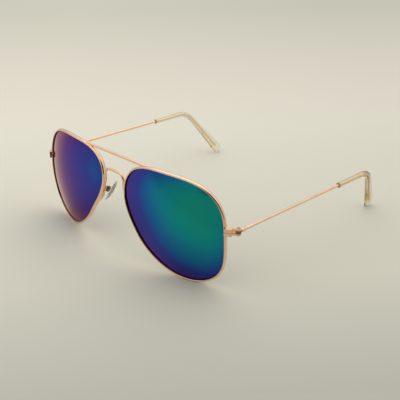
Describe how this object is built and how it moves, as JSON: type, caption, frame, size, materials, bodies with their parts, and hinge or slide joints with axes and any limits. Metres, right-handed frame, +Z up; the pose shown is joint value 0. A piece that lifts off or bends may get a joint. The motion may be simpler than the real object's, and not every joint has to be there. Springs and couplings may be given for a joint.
{
  "type": "aviator sunglasses",
  "caption": "Wire-framed aviator sunglasses with mirrored lenses, a straight top bar above an arched bridge, rocking nose pads and folding temples with clear ear tips.",
  "frame": {"origin": "on the table, under the middle of the width and depth of the open glasses", "axes": "+Z up, the lenses face -Y, the wearer's left is at +X"},
  "size_m": [0.1418, 0.14, 0.0529],
  "materials": {
    "rose_gold_metal": "polished rose-gold plating",
    "gilt_screw": "plated",
    "mirror_lens": "green-blue mirror coating on moulded plastic",
    "clear_ear_plastic": "clear, slightly yellow",
    "pad_insert_plastic": "clear",
    "clear_silicone": "soft, clear"
  },
  "bodies": {
    "front": {"rim_left": "rose_gold_metal", "rim_right": "rose_gold_metal", "lens_left": "mirror_lens", "lens_right": "mirror_lens", "top_bar": "rose_gold_metal", "bridge": "rose_gold_metal", "pad_arm_left": "rose_gold_metal", "pad_arm_right": "rose_gold_metal", "pad_box_left": "rose_gold_metal", "pad_box_right": "rose_gold_metal", "pad_screw_left": "gilt_screw", "pad_screw_right": "gilt_screw", "end_piece_left": "rose_gold_metal", "end_piece_right": "rose_gold_metal", "closing_block_left": "rose_gold_metal", "closing_block_right": "rose_gold_metal", "rim_screw_left": "gilt_screw", "rim_screw_right": "gilt_screw", "front_hinge_left": "rose_gold_metal", "front_hinge_right": "rose_gold_metal", "hinge_screw_left": "gilt_screw", "hinge_screw_right": "gilt_screw"},
    "temple_left": {"temple_hinge_left": "rose_gold_metal", "temple_left": "rose_gold_metal", "ear_tip_left": "clear_ear_plastic"},
    "temple_right": {"temple_hinge_right": "rose_gold_metal", "temple_right": "rose_gold_metal", "ear_tip_right": "clear_ear_plastic"},
    "nose_pad_left": {"pad_core_left": "pad_insert_plastic", "nose_pad_left": "clear_silicone"},
    "nose_pad_right": {"pad_core_right": "pad_insert_plastic", "nose_pad_right": "clear_silicone"}
  },
  "joints": [
    {"name": "temple_left_fold", "type": "hinge", "parent": "front", "child": "temple_left", "pos_m": [0.06968, -0.05479, 0.03177], "axis": [0, 0, 1], "range_deg": [0, 86]},
    {"name": "temple_right_fold", "type": "hinge", "parent": "front", "child": "temple_right", "pos_m": [-0.06968, -0.05479, 0.03177], "axis": [0, 0, -1], "range_deg": [0, 77]},
    {"name": "pad_left_rock", "type": "hinge", "parent": "front", "child": "nose_pad_left", "pos_m": [0.00957, -0.06413, 0.03029], "axis": [0.6157, 0.7575, -0.2172], "range_deg": [-8, 8]},
    {"name": "pad_right_rock", "type": "hinge", "parent": "front", "child": "nose_pad_right", "pos_m": [-0.00957, -0.06413, 0.03029], "axis": [0.6157, -0.7575, 0.2172], "range_deg": [-8, 8]}
  ]
}
